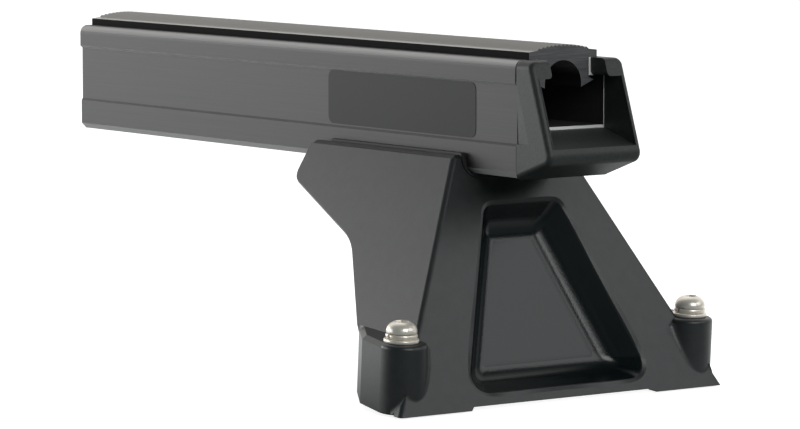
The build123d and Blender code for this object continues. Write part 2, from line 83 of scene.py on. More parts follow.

# The polish and painted shade: a mask of what lies behind the leaning outboard face and before the recess
# floor, inside the recess's trapezoid, which narrows by recess_slope as it rises. Inside it the roughness
# drops for the polish, and the colour is painted near-black for the shade that falls in the recess. Depths
# and widths are in metres. Sockets 0, 6 and 7 of a colour mix are its factor and its two colours, and output
# 2 is its result.
lean = math.radians(20.4)
recess_slope = 0.36282
polish_and_shade_starts, polish_and_shade_full, polish_and_shade_ends = -0.0096, -0.0088, 0.0006
polish_and_shade_half_width = 0.0409
leg_depth = leg_tree.nodes.new("ShaderNodeVectorMath")
leg_depth.operation = "DOT_PRODUCT"
leg_depth.inputs[1].default_value = (-math.cos(lean), 0, -math.sin(lean))
leg_polish_and_shade = leg_tree.nodes.new("ShaderNodeMapRange")
leg_polish_and_shade.inputs["From Min"].default_value = polish_and_shade_starts
leg_polish_and_shade.inputs["From Max"].default_value = polish_and_shade_full
leg_floor = leg_tree.nodes.new("ShaderNodeMath")
leg_floor.operation = "LESS_THAN"
leg_floor.inputs[1].default_value = polish_and_shade_ends
leg_rise = leg_tree.nodes.new("ShaderNodeVectorMath")
leg_rise.operation = "DOT_PRODUCT"
leg_rise.inputs[1].default_value = (-recess_slope * math.sin(lean), 0, recess_slope * math.cos(lean))
leg_axis = leg_tree.nodes.new("ShaderNodeSeparateXYZ")
leg_wide = leg_tree.nodes.new("ShaderNodeMath")
leg_wide.operation = "ABSOLUTE"
leg_span = leg_tree.nodes.new("ShaderNodeMath")
leg_inside = leg_tree.nodes.new("ShaderNodeMath")
leg_inside.operation = "LESS_THAN"
leg_inside.inputs[1].default_value = polish_and_shade_half_width
leg_both = leg_tree.nodes.new("ShaderNodeMath")
leg_both.operation = "MULTIPLY"
leg_mask = leg_tree.nodes.new("ShaderNodeMath")
leg_mask.operation = "MULTIPLY"
# Painted shade: inside the mask the recess takes a near-black colour for the shade that falls in it.
leg_painted_shade = leg_tree.nodes.new("ShaderNodeMix")
leg_painted_shade.data_type = "RGBA"
leg_painted_shade.inputs[7].default_value = (0.006, 0.009, 0.010, 1)
leg_rough = leg_tree.nodes.new("ShaderNodeMix")
leg_rough.inputs["A"].default_value = 0.36
leg_rough.inputs["B"].default_value = 0.22
leg_tree.links.new(leg_place.outputs["Object"], leg_depth.inputs[0])
leg_tree.links.new(leg_place.outputs["Object"], leg_rise.inputs[0])
leg_tree.links.new(leg_place.outputs["Object"], leg_axis.inputs["Vector"])
leg_tree.links.new(leg_depth.outputs["Value"], leg_polish_and_shade.inputs["Value"])
leg_tree.links.new(leg_depth.outputs["Value"], leg_floor.inputs[0])
leg_tree.links.new(leg_axis.outputs["Y"], leg_wide.inputs[0])
leg_tree.links.new(leg_wide.outputs["Value"], leg_span.inputs[0])
leg_tree.links.new(leg_rise.outputs["Value"], leg_span.inputs[1])
leg_tree.links.new(leg_span.outputs["Value"], leg_inside.inputs[0])
leg_tree.links.new(leg_inside.outputs["Value"], leg_both.inputs[0])
leg_tree.links.new(leg_floor.outputs["Value"], leg_both.inputs[1])
leg_tree.links.new(leg_both.outputs["Value"], leg_mask.inputs[0])
leg_tree.links.new(leg_polish_and_shade.outputs["Result"], leg_mask.inputs[1])
leg_tree.links.new(leg_mask.outputs["Value"], leg_painted_shade.inputs[0])
leg_tree.links.new(leg_ramp.outputs["Color"], leg_painted_shade.inputs[6])
leg_tree.links.new(leg_painted_shade.outputs[2], leg_bsdf.inputs["Base Color"])
leg_tree.links.new(leg_mask.outputs["Value"], leg_rough.inputs[0])
leg_tree.links.new(leg_rough.outputs[0], leg_bsdf.inputs["Roughness"])
leg_tree.links.new(leg_grain.outputs["Normal"], leg_bsdf.inputs["Normal"])
nodes["leg"].data.materials[0] = leg_look

# End cap: moulded in a softer black plastic with a coarser matte grain, pushed onto the bar's end
# by the plug on its foot.
cap_look = bpy.data.materials.new("cap_plastic")
cap_look.use_nodes = True
cap_tree = cap_look.node_tree
cap_bsdf = cap_tree.nodes["Principled BSDF"]
cap_bsdf.inputs["Roughness"].default_value = 0.46
cap_bsdf.inputs["Specular IOR Level"].default_value = 0.38
cap_place = cap_tree.nodes.new("ShaderNodeTexCoord")
cap_cloud = cap_tree.nodes.new("ShaderNodeTexNoise")
cap_cloud.inputs["Scale"].default_value = 900
cap_cloud.inputs["Detail"].default_value = 3.0
cap_ramp = cap_tree.nodes.new("ShaderNodeValToRGB")
cap_ramp.color_ramp.elements[0].position = 0.3
cap_ramp.color_ramp.elements[0].color = (0.032, 0.036, 0.035, 1)
cap_ramp.color_ramp.elements[1].position = 0.7
cap_ramp.color_ramp.elements[1].color = (0.046, 0.051, 0.049, 1)
cap_grain = cap_tree.nodes.new("ShaderNodeGroup")
cap_grain.node_tree = grain
cap_grain.inputs["Scale"].default_value = 1100
cap_grain.inputs["Depth"].default_value = 0.6
cap_tree.links.new(cap_place.outputs["Object"], cap_cloud.inputs["Vector"])
cap_tree.links.new(cap_cloud.outputs["Fac"], cap_ramp.inputs["Fac"])
cap_tree.links.new(cap_ramp.outputs["Color"], cap_bsdf.inputs["Base Color"])
cap_tree.links.new(cap_grain.outputs["Normal"], cap_bsdf.inputs["Normal"])
nodes["end_cap"].data.materials[0] = cap_look

# Crossbar: extruded aluminium with a satin black coating, sawn to length after coating so that its
# ends are bare metal. Faint die lines run along it, a pale painted highlight lies on its outer edges and on
# the step above the recessed field, and a painted shadow darkens its side along the joint with the end cap.

# Sawn ends of the bar and its strip: a mask that is 1 on the two end faces and 0 along the length,
# with the saw's faint parallel scratches across it.
cut = bpy.data.node_groups.new("sawn_end", "ShaderNodeTree")
cut.interface.new_socket("End", in_out="OUTPUT", socket_type="NodeSocketFloat")
cut.interface.new_socket("Scratch", in_out="OUTPUT", socket_type="NodeSocketFloat")
cut_out = cut.nodes.new("NodeGroupOutput")
cut_geo = cut.nodes.new("ShaderNodeNewGeometry")
cut_axis = cut.nodes.new("ShaderNodeSeparateXYZ")
cut_abs = cut.nodes.new("ShaderNodeMath")
cut_abs.operation = "ABSOLUTE"
cut_step = cut.nodes.new("ShaderNodeMath")
cut_step.operation = "GREATER_THAN"
cut_step.inputs[1].default_value = 0.98
cut_place = cut.nodes.new("ShaderNodeTexCoord")
cut_turn = cut.nodes.new("ShaderNodeMapping")
cut_turn.inputs["Rotation"].default_value = (math.radians(63), 0, 0)
cut_turn.inputs["Scale"].default_value = (1, 0.05, 1)
cut_noise = cut.nodes.new("ShaderNodeTexNoise")
cut_noise.inputs["Scale"].default_value = 2600
cut_noise.inputs["Detail"].default_value = 2.0
cut.links.new(cut_geo.outputs["True Normal"], cut_axis.inputs["Vector"])
cut.links.new(cut_axis.outputs["X"], cut_abs.inputs[0])
cut.links.new(cut_abs.outputs["Value"], cut_step.inputs[0])
cut.links.new(cut_place.outputs["Object"], cut_turn.inputs["Vector"])
cut.links.new(cut_turn.outputs["Vector"], cut_noise.inputs["Vector"])
cut.links.new(cut_step.outputs["Value"], cut_out.inputs["End"])
cut.links.new(cut_noise.outputs["Fac"], cut_out.inputs["Scratch"])

bar_look = bpy.data.materials.new("bar_black")
bar_look.use_nodes = True
bar_tree = bar_look.node_tree
bar_bsdf = bar_tree.nodes["Principled BSDF"]
bar_place = bar_tree.nodes.new("ShaderNodeTexCoord")
bar_stretch = bar_tree.nodes.new("ShaderNodeMapping")
bar_stretch.inputs["Scale"].default_value = (0.01, 1, 1)
bar_lines = bar_tree.nodes.new("ShaderNodeTexNoise")
bar_lines.inputs["Scale"].default_value = 1800
bar_lines.inputs["Detail"].default_value = 2.0
bar_ramp = bar_tree.nodes.new("ShaderNodeValToRGB")
bar_ramp.color_ramp.elements[0].position = 0.3
bar_ramp.color_ramp.elements[0].color = (0.046, 0.043, 0.045, 1)
bar_ramp.color_ramp.elements[1].position = 0.7
bar_ramp.color_ramp.elements[1].color = (0.054, 0.051, 0.053, 1)
bar_cut = bar_tree.nodes.new("ShaderNodeGroup")
bar_cut.node_tree = cut
bar_metal = bar_tree.nodes.new("ShaderNodeMix")
bar_metal.data_type = "RGBA"
bar_metal.inputs[7].default_value = (0.95, 0.95, 0.94, 1)
bar_bare = bar_tree.nodes.new("ShaderNodeMath")
bar_bare.operation = "MULTIPLY"
bar_bare.inputs[1].default_value = 0.45
# Painted shadow: past joint_x, next to the end cap, the bar's colour turns near-black for the shade of the
# gap there, and its roughness rises.
joint_x = 0.0081
bar_axis = bar_tree.nodes.new("ShaderNodeSeparateXYZ")
bar_joint = bar_tree.nodes.new("ShaderNodeMath")
bar_joint.operation = "LESS_THAN"
bar_joint.inputs[1].default_value = joint_x
bar_dull = bar_tree.nodes.new("ShaderNodeMix")
bar_dull.inputs["A"].default_value = 0.98
bar_joint_shadow = bar_tree.nodes.new("ShaderNodeMix")
bar_joint_shadow.data_type = "RGBA"
bar_joint_shadow.inputs[6].default_value = (0.004, 0.004, 0.004, 1)
bar_rough = bar_tree.nodes.new("ShaderNodeMix")
bar_rough.inputs["A"].default_value = 0.48
bar_rough.inputs["B"].default_value = 0.3
bar_tree.links.new(bar_place.outputs["Object"], bar_stretch.inputs["Vector"])
bar_tree.links.new(bar_stretch.outputs["Vector"], bar_lines.inputs["Vector"])
bar_tree.links.new(bar_lines.outputs["Fac"], bar_ramp.inputs["Fac"])
bar_tree.links.new(bar_cut.outputs["End"], bar_metal.inputs[0])
bar_tree.links.new(bar_place.outputs["Object"], bar_axis.inputs["Vector"])
bar_tree.links.new(bar_axis.outputs["X"], bar_joint.inputs[0])
bar_tree.links.new(bar_joint.outputs["Value"], bar_joint_shadow.inputs[0])

# The painted highlight on the edges: a mask of faces that slant between side and top, on the upper band and
# where they look down, which turns their colour pale as if they caught the light.
upper_band_z = 0.1
bar_facing = bar_tree.nodes.new("ShaderNodeSeparateXYZ")
bar_oblique = bar_tree.nodes.new("ShaderNodeMath")
bar_oblique.operation = "MULTIPLY"
bar_slant = bar_tree.nodes.new("ShaderNodeMath")
bar_slant.operation = "ABSOLUTE"
bar_high = bar_tree.nodes.new("ShaderNodeMath")
bar_high.operation = "GREATER_THAN"
bar_high.inputs[1].default_value = upper_band_z
bar_under = bar_tree.nodes.new("ShaderNodeMath")
bar_under.operation = "LESS_THAN"
bar_under.inputs[1].default_value = 0.0
bar_where = bar_tree.nodes.new("ShaderNodeMath")
bar_where.operation = "MAXIMUM"
bar_edge_lit = bar_tree.nodes.new("ShaderNodeMath")
bar_edge_lit.operation = "MULTIPLY"
bar_edge_lit_ramp = bar_tree.nodes.new("ShaderNodeMapRange")
bar_edge_lit_ramp.inputs["From Min"].default_value = 0.2
bar_edge_lit_ramp.inputs["From Max"].default_value = 0.5
bar_painted_highlight = bar_tree.nodes.new("ShaderNodeMix")
bar_painted_highlight.data_type = "RGBA"
bar_painted_highlight.inputs[7].default_value = (0.5, 0.485, 0.485, 1)
bar_tree.links.new(bar_place.outputs["Normal"], bar_facing.inputs["Vector"])
bar_tree.links.new(bar_facing.outputs["Y"], bar_oblique.inputs[0])
bar_tree.links.new(bar_facing.outputs["Z"], bar_oblique.inputs[1])
bar_tree.links.new(bar_oblique.outputs["Value"], bar_slant.inputs[0])
bar_tree.links.new(bar_axis.outputs["Z"], bar_high.inputs[0])
bar_tree.links.new(bar_facing.outputs["Z"], bar_under.inputs[0])
bar_tree.links.new(bar_high.outputs["Value"], bar_where.inputs[0])
bar_tree.links.new(bar_under.outputs["Value"], bar_where.inputs[1])
bar_tree.links.new(bar_where.outputs["Value"], bar_edge_lit.inputs[0])
bar_tree.links.new(bar_slant.outputs["Value"], bar_edge_lit.inputs[1])
bar_tree.links.new(bar_edge_lit.outputs["Value"], bar_edge_lit_ramp.inputs["Value"])
bar_tree.links.new(bar_edge_lit_ramp.outputs["Result"], bar_painted_highlight.inputs[0])
bar_tree.links.new(bar_ramp.outputs["Color"], bar_painted_highlight.inputs[6])
bar_tree.links.new(bar_painted_highlight.outputs[2], bar_joint_shadow.inputs[7])
bar_tree.links.new(bar_joint_shadow.outputs[2], bar_metal.inputs[6])
bar_tree.links.new(bar_joint.outputs["Value"], bar_dull.inputs[0])
bar_tree.links.new(bar_rough.outputs[0], bar_dull.inputs["B"])
bar_tree.links.new(bar_metal.outputs[2], bar_bsdf.inputs["Base Color"])
bar_tree.links.new(bar_cut.outputs["End"], bar_bare.inputs[0])
bar_tree.links.new(bar_bare.outputs["Value"], bar_bsdf.inputs["Metallic"])
bar_tree.links.new(bar_cut.outputs["End"], bar_rough.inputs[0])
bar_tree.links.new(bar_dull.outputs[0], bar_bsdf.inputs["Roughness"])
nodes["crossbar"].data.materials[0] = bar_look

# Rubber strip: extruded black rubber pressed into the bar's top slot. Its ribbed top is painted paler for the
# sheen of light on it and is smoother, its upright flanks are painted deep black for the shade on them and
# are rougher, and the sawn ends are paler, with saw marks.
strip_look = bpy.data.materials.new("strip_rubber")
strip_look.use_nodes = True
strip_tree = strip_look.node_tree
strip_bsdf = strip_tree.nodes["Principled BSDF"]
strip_cut = strip_tree.nodes.new("ShaderNodeGroup")
strip_cut.node_tree = cut
strip_saw = strip_tree.nodes.new("ShaderNodeValToRGB")
strip_saw.color_ramp.elements[0].position = 0.3
strip_saw.color_ramp.elements[0].color = (0.10, 0.10, 0.105, 1)
strip_saw.color_ramp.elements[1].position = 0.7
strip_saw.color_ramp.elements[1].color = (0.16, 0.16, 0.165, 1)
strip_mix = strip_tree.nodes.new("ShaderNodeMix")
strip_mix.data_type = "RGBA"
strip_place = strip_tree.nodes.new("ShaderNodeTexCoord")
strip_axes = strip_tree.nodes.new("ShaderNodeSeparateXYZ")
strip_flank = strip_tree.nodes.new("ShaderNodeMath")
strip_flank.operation = "ABSOLUTE"
strip_rough_and_shade = strip_tree.nodes.new("ShaderNodeMapRange")
strip_rough_and_shade.inputs["From Min"].default_value = 0.7
strip_rough_and_shade.inputs["From Max"].default_value = 0.95
strip_rough_and_shade.inputs["To Min"].default_value = 0.25
strip_rough_and_shade.inputs["To Max"].default_value = 0.98
# Painted light: the colour runs from a pale painted sheen on the top to a painted near-black shade on the
# flanks.
strip_painted_sheen_and_shade = strip_tree.nodes.new("ShaderNodeValToRGB")
strip_painted_sheen_and_shade.color_ramp.elements[0].position = 0.25
strip_painted_sheen_and_shade.color_ramp.elements[0].color = (0.21, 0.204, 0.19, 1)
strip_painted_sheen_and_shade.color_ramp.elements[1].position = 0.98
strip_painted_sheen_and_shade.color_ramp.elements[1].color = (0.003, 0.003, 0.003, 1)
strip_tree.links.new(strip_place.outputs["Normal"], strip_axes.inputs["Vector"])
strip_tree.links.new(strip_axes.outputs["Y"], strip_flank.inputs[0])
strip_tree.links.new(strip_flank.outputs["Value"], strip_rough_and_shade.inputs["Value"])
strip_tree.links.new(strip_rough_and_shade.outputs["Result"], strip_bsdf.inputs["Roughness"])
strip_tree.links.new(strip_rough_and_shade.outputs["Result"], strip_painted_sheen_and_shade.inputs["Fac"])
strip_tree.links.new(strip_painted_sheen_and_shade.outputs["Color"], strip_mix.inputs[6])
strip_tree.links.new(strip_cut.outputs["Scratch"], strip_saw.inputs["Fac"])
strip_tree.links.new(strip_cut.outputs["End"], strip_mix.inputs[0])
strip_tree.links.new(strip_saw.outputs["Color"], strip_mix.inputs[7])
strip_tree.links.new(strip_mix.outputs[2], strip_bsdf.inputs["Base Color"])
nodes["rubber_strip"].data.materials[0] = strip_look

# Saddle liner: a moulded channel of soft black rubber, laid in the saddle under the bar. It keeps the bar
# from sliding and scratching in the leg, and only its edge shows.
liner_look = bpy.data.materials.new("liner_rubber")
liner_look.use_nodes = True
liner_bsdf = liner_look.node_tree.nodes["Principled BSDF"]
liner_bsdf.inputs["Base Color"].default_value = (0.014, 0.014, 0.015, 1)
liner_bsdf.inputs["Roughness"].default_value = 0.6
nodes["saddle_liner"].data.materials[0] = liner_look

# Label on the bar's side: a plain black vinyl film with rounded corners, cut from sheet and stuck in the
# recessed field. Sizes are in metres.
label_bend = 0.003
label_y = -0.01906
label_thickness = 0.00012
label_turn = np.linspace(0, math.pi / 2, 9)
label_spots = []
for centre_x, centre_z, start in (
    (-0.0180, 0.1048, 0), (-0.0995, 0.1048, 1), (-0.0995, 0.0916, 2), (-0.0180, 0.0916, 3)
):
    for angle in label_turn + start * math.pi / 2:
        label_spots.append((centre_x + label_bend * math.cos(angle), centre_z + label_bend * math.sin(angle)))
label_rim = np.array(label_spots)
label_back = np.column_stack([label_rim[:, 0], np.full(len(label_rim), label_y), label_rim[:, 1]])
label_front = label_back - (0, label_thickness, 0)
label_count = len(label_rim)
label_faces = [list(range(label_count, 2 * label_count))]
for i in range(label_count):
    k = (i + 1) % label_count
    label_faces.append([i, k, label_count + k, label_count + i])
label_mesh = bpy.data.meshes.new("bar_label")
label_mesh.from_pydata(np.vstack([label_back, label_front]).tolist(), [], label_faces)
label_mesh.update()
bar_label = bpy.data.objects.new("bar_label", label_mesh)
bpy.context.scene.collection.objects.link(bar_label)
label_look = bpy.data.materials.new("label_film")
label_look.use_nodes = True
label_bsdf = label_look.node_tree.nodes["Principled BSDF"]
label_bsdf.inputs["Base Color"].default_value = (0.020, 0.020, 0.023, 1)
label_bsdf.inputs["Roughness"].default_value = 0.42
label_bsdf.inputs["Specular IOR Level"].default_value = 0.2
label_mesh.materials.append(label_look)
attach(bar_label, "bar")

# Screws, bolts and washers: stainless steel, bright and slightly warm, turned and stamped. The channel nuts
# hidden in the bar are zinc-plated steel.
steel_look = bpy.data.materials.new("stainless")
steel_look.use_nodes = True
steel_bsdf = steel_look.node_tree.nodes["Principled BSDF"]
steel_bsdf.inputs["Base Color"].default_value = (1.0, 0.94, 0.84, 1)
steel_bsdf.inputs["Metallic"].default_value = 0.5
steel_bsdf.inputs["Roughness"].default_value = 0.34
zinc_look = bpy.data.materials.new("zinc_steel")
zinc_look.use_nodes = True
zinc_bsdf = zinc_look.node_tree.nodes["Principled BSDF"]
zinc_bsdf.inputs["Base Color"].default_value = (0.6, 0.6, 0.61, 1)
zinc_bsdf.inputs["Metallic"].default_value = 1.0
zinc_bsdf.inputs["Roughness"].default_value = 0.38
for name, node in nodes.items():
    if name.startswith("channel_nut"):
        node.data.materials[0] = zinc_look
    elif name.startswith(("base_", "clamp_")):
        node.data.materials[0] = steel_look

# Base screws with their washers: stainless button heads with a hexagon socket, each on a spring washer
# with one slit and a stamped flat washer. They are turned here with rounded edges, where the solids are
# plain. Each profile lists radius and height above the boss in millimetres.
tip = math.radians(3.5)
screw_y, seat_height = 62.5, 23.4
slit_angle, slit_lift = 0.24, 0.1
head_radius, head_base, head_rise, head_fullness, head_crown = 5.25, 3.9, 3.75, 1.05, 0.06
socket_half, socket_rim, socket_edge, socket_depth, socket_point = 2.0, 2.6, 0.12, 2.0, 2.5
ring = 97
screw_frame = np.array(((math.cos(tip), 0, math.sin(tip)), (0, 1, 0), (-math.sin(tip), 0, math.cos(tip))))
flat_profile = [
    (3.4, 0.3), (3.4, 1.1), (3.7, 1.4), (5.6, 1.38), (5.86, 1.26),
    (6.0, 1.0), (6.0, 0.4), (5.86, 0.14), (5.6, 0.02), (3.7, 0.0),
]
spring_profile = [
    (3.42, 1.8), (3.42, 2.7), (3.7, 3.0), (4.9, 3.02), (5.28, 2.86),
    (5.44, 2.5), (5.44, 2.0), (5.28, 1.64), (4.9, 1.48), (3.7, 1.48),
]
head_profile = [(0, -21.8), (2.4, -21.8), (3.0, -21.2), (3.0, 3.22), (4.95, 3.22), (5.18, 3.3), (5.25, 3.5)]
for bow in np.radians(np.linspace(90, 33, 14)):
    head_out = head_radius * math.sin(bow) ** head_fullness
    head_profile.append((head_out, head_base + head_rise * math.cos(bow)))
for place, side in (("left", -1), ("right", 1)):
    screw_seat = np.array((0, side * screw_y, 0)) + seat_height * screw_frame[:, 2]
    for piece, profile, slit in (
        ("flat_washer", flat_profile, 0), ("spring_washer", spring_profile, slit_angle),
        ("screw", head_profile, 0),
    ):
        turn = np.linspace(slit / 2, 2 * math.pi - slit / 2, ring) - math.pi / 2
        rings = [(np.full(ring, radius), height) for radius, height in profile]
        closed = piece != "screw"
        if not closed:
            top = profile[-1][1] + head_crown
            six = socket_half / np.cos((turn + math.pi / 2) % (math.pi / 3) - math.pi / 6)
            rings += [(np.full(ring, socket_rim), top), (six + socket_edge, top)]
            rings += [(six, top - 1.5 * socket_edge), (six, top - socket_depth)]
            rings += [(six * 0.02, top - socket_point)]
        lift = np.linspace(0, slit_lift, ring) * (slit > 0)
        points = [np.column_stack([r * np.cos(turn), r * np.sin(turn), h + lift]) for r, h in rings]
        count = len(points)
        faces = []
        for row in range(count if closed else count - 1):
            a, b = row * ring, (row + 1) % count * ring
            faces += [(a + i, b + i, b + i + 1, a + i + 1) for i in range(ring - 1)]
        if slit:
            faces += [list(range(0, count * ring, ring)), list(range(count * ring - 1, 0, -ring))]
        name = f"turned_{piece}_{place}"
        mesh = bpy.data.meshes.new(name)
        mesh.from_pydata(((screw_seat + np.vstack(points) @ screw_frame.T) / 1000).tolist(), [], faces)
        mesh.shade_smooth()
        mesh.set_sharp_from_angle(angle=math.radians(40))
        mesh.materials.append(steel_look)
        turned = bpy.data.objects.new(name, mesh)
        bpy.context.scene.collection.objects.link(turned)
        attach(turned, "leg")
        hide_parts(f"base_{piece}_{place}")

# Boss roots and tops: soft hollows where the bosses run into the outboard face and into the leg's side, the
# round of their top edges, and the root of each ear below the leg's back edge. They are moulded with the leg,
# in its nylon. Sizes are in millimetres.
boss_at_x, boss_at_y, boss_radius, boss_height = 0.6, 61.9, 8.2, 21.9
ball_radius, ball_growth, ball_from = 3.0, 0.12, 25.5
round_radius, round_inset, round_height = 1.5, 6.71, 21.91
skin_lift = 0.015
rows, steps = 60, 9
face_out = np.array((math.cos(lean), 0, math.sin(lean)))
face_foot = np.array((10.7, 0, 0))
side_foot = 69.4
side_lean = math.radians(28.4)
boss_x, boss_up = screw_frame[:, 0], screw_frame[:, 2]
root_high = np.array((
    (-29.4, 55.75, 25.25), (-33.79, 55.61, 25.51), (-35.4, 54.26, 25.61),
    (-35.4, 51.23, 25.61), (-31.5, 51.4, 25.37),
))
root_low = np.array((
    (-30.4, 56.95, 21.9), (-33.07, 55.24, 22.05), (-33.98, 53.8, 22.1),
    (-33.45, 52.18, 22.1), (-31.0, 51.56, 21.95),
))
for place, side in (("left", -1), ("right", 1)):
    outward = np.array((0, side, 0))
    boss_foot = boss_at_x * boss_x + boss_at_y * outward
    side_out = np.array((0, side * math.cos(side_lean), math.sin(side_lean)))

    # A hollow is the path of a ball rolled along boss and wall, each row an arc from one to the other. The
    # ball shrinks where the two part, and at the side it grows with each degree from ball_from on.
    hollows = {"face": [], "side": []}
    for wall, wall_out, wall_foot, first, last in (
        ("face", face_out, face_foot, -84.5, 22), ("side", side_out, side_foot * outward, 28, 66)
    ):
        for angle in np.radians(np.linspace(first, last, rows)):
            out = math.cos(angle) * boss_x + math.sin(angle) * outward
            headroom = (boss_height * boss_up + boss_foot + boss_radius * out - wall_foot) @ wall_out
            ball = min(headroom / (1 - out @ wall_out), ball_radius)
            if wall == "side":
                ball = min(ball, ball_growth * (math.degrees(angle) - ball_from))
            foot = boss_foot + (boss_radius + ball) * out
            climb = (ball - (foot - wall_foot) @ wall_out) / (boss_up @ wall_out)
            span = math.acos(out @ wall_out)
            for t in np.linspace(0, 1, steps):
                way = (math.sin((1 - t) * span) * out + math.sin(t * span) * wall_out) / math.sin(span)
                hollows[wall].append(foot + climb * boss_up - ball * way + skin_lift * way)

    # The round is a quarter circle led along the ear's outline.
    rim = []
    for angle in np.radians(np.linspace(-84, 102.8, rows)):
        out = math.cos(angle) * boss_x + math.sin(angle) * outward
        for t in np.linspace(0, math.pi / 2, steps):
            reach = round_inset + round_radius * math.cos(t)
            rise = round_height + round_radius * math.sin(t)
            rim.append(boss_foot + reach * out + rise * boss_up)

    # The ear's root runs straight from the leg's lower edge down onto the tail of the ear.
    tail = []
    for along in np.linspace(0, len(root_high) - 1, rows):
        high, low = [
            np.array([np.interp(along, range(len(line)), line[:, axis]) for axis in range(3)]) * (1, side, 1)
            for line in (root_high, root_low)
        ]
        for t in np.linspace(0, 1, steps):
            tail.append(high + t * (low - high))

    for name, spots in (
        (f"boss_hollow_{place}", hollows["face"]), (f"boss_root_{place}", hollows["side"]),
        (f"boss_round_{place}", rim), (f"ear_root_{place}", tail),
    ):
        faces = []
        for row in range(rows - 1):
            for k in range(steps - 1):
                a = row * steps + k
                faces.append((a, a + 1, a + steps + 1, a + steps))
        mesh = bpy.data.meshes.new(name)
        mesh.from_pydata((np.array(spots) / 1000).tolist(), [], faces)
        mesh.shade_smooth()
        mesh.materials.append(leg_look)
        blend = bpy.data.objects.new(name, mesh)
        bpy.context.scene.collection.objects.link(blend)
        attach(blend, "leg")

# Bead round the cap's mouth: the fine raised edge that the mould leaves down both inner edges of the mouth,
# in the cap's plastic. Each is a thin rod, swept along the edge from the lip to the shelf, in millimetres.
bead_radius, bead_sides = 0.24, 12
mouth_half_width = 17.8
for place, side in (("left", -1), ("right", 1)):
    bead_top = np.array((18.24, side * mouth_half_width, 110.3))
    bead_foot = np.array((26.30, side * mouth_half_width, 87.25))
    bead_along = (bead_foot - bead_top) / np.linalg.norm(bead_foot - bead_top)
    bead_y = np.array((0, 1, 0))
    bead_n = np.cross(bead_along, bead_y)
    spots = []
    for end in (bead_top, bead_foot):
        for angle in np.linspace(0, 2 * math.pi, bead_sides, endpoint=False):
            spots.append(end + bead_radius * (math.cos(angle) * bead_y + math.sin(angle) * bead_n))
    faces = []
    for i in range(bead_sides):
        k = (i + 1) % bead_sides
        faces.append((i, k, bead_sides + k, bead_sides + i))
    mesh = bpy.data.meshes.new(f"mouth_bead_{place}")
    mesh.from_pydata((np.array(spots) / 1000).tolist(), [], faces)
    mesh.shade_smooth()
    mesh.materials.append(cap_look)
    bead = bpy.data.objects.new(f"mouth_bead_{place}", mesh)
    bpy.context.scene.collection.objects.link(bead)
    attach(bead, "bar")

# Recess floor: the walls turn into the floor through a moulded 9 mm hollow, and the floor inside it carries a
# plain glossy film, stuck on. Rings follow the trapezoid of the floor, set in from its corner line and raised
# along an arc. Each ring is an inset and a height in millimetres.
recess_low, recess_high, recess_half_low = 11.48, 63.63, 30.414
recess_depth = 10.0
hollow_radius, hollow_reach, hollow_lift = 9.0, 4.68, 0.02
bend_most, bend_loss, bend_least = 3.0, 0.45, 0.8
bend_steps = 13
recess_ring = 4 * bend_steps
recess_up = np.array((-math.sin(lean), 0, math.cos(lean)))
recess_foot = face_foot - recess_depth * face_out
recess_arc = np.linspace(math.radians(55), 0, 9)
recess_rings = []
for t in recess_arc:
    inset = hollow_reach - hollow_radius * math.sin(t)
    recess_rings.append((inset, hollow_lift + hollow_radius * (1 - math.cos(t))))
film_rings = [(4.3, 0.035), (4.4, 0.05), (5.7, 0.05)]
film_look = bpy.data.materials.new("recess_film")
film_look.use_nodes = True
film_bsdf = film_look.node_tree.nodes["Principled BSDF"]
film_bsdf.inputs["Base Color"].default_value = (0.018, 0.024, 0.026, 1)
film_bsdf.inputs["Roughness"].default_value = 0.3
for name, rings, look in (("recess_hollow", recess_rings, leg_look), ("recess_film", film_rings, film_look)):
    spots = []
    for inset, height in rings:
        corners = []
        for v in (recess_low + inset, recess_high - inset):
            half_width = recess_half_low - recess_slope * (v - recess_low)
            corners.append((half_width - math.hypot(1, recess_slope) * inset, v))
        corners = [corners[0], corners[1], (-corners[1][0], corners[1][1]), (-corners[0][0], corners[0][1])]
        bend = max(bend_most - bend_loss * inset, bend_least)
        for i in range(4):
            here = np.array(corners[i])
            to_last = np.array(corners[i - 1]) - here
            to_next = np.array(corners[(i + 1) % 4]) - here
            to_last /= np.linalg.norm(to_last)
            to_next /= np.linalg.norm(to_next)
            half = math.acos(float(to_last @ to_next)) / 2
            middle = here + (to_last + to_next) / np.linalg.norm(to_last + to_next) * bend / math.sin(half)
            start = here + to_last * bend / math.tan(half) - middle
            end = here + to_next * bend / math.tan(half) - middle
            span = math.pi - 2 * half
            for t in np.linspace(0, 1, bend_steps):
                u, v = middle + (math.sin((1 - t) * span) * start + math.sin(t * span) * end) / math.sin(span)
                spots.append(recess_foot + np.array((0, u, 0)) + v * recess_up + height * face_out)
    faces = []
    for row in range(len(rings) - 1):
        a, b = row * recess_ring, (row + 1) * recess_ring
        for i in range(recess_ring):
            k = (i + 1) % recess_ring
            faces.append((a + i, a + k, b + k, b + i))
    if rings is film_rings:
        faces.append([(len(rings) - 1) * recess_ring + i for i in range(recess_ring)])
    mesh = bpy.data.meshes.new(name)
    mesh.from_pydata((np.array(spots) / 1000).tolist(), [], faces)
    mesh.shade_smooth()
    mesh.set_sharp_from_angle(angle=math.radians(40))
    piece = bpy.data.objects.new(name, mesh)
    bpy.context.scene.collection.objects.link(piece)
    mesh.materials.append(look)
    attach(piece, "leg")

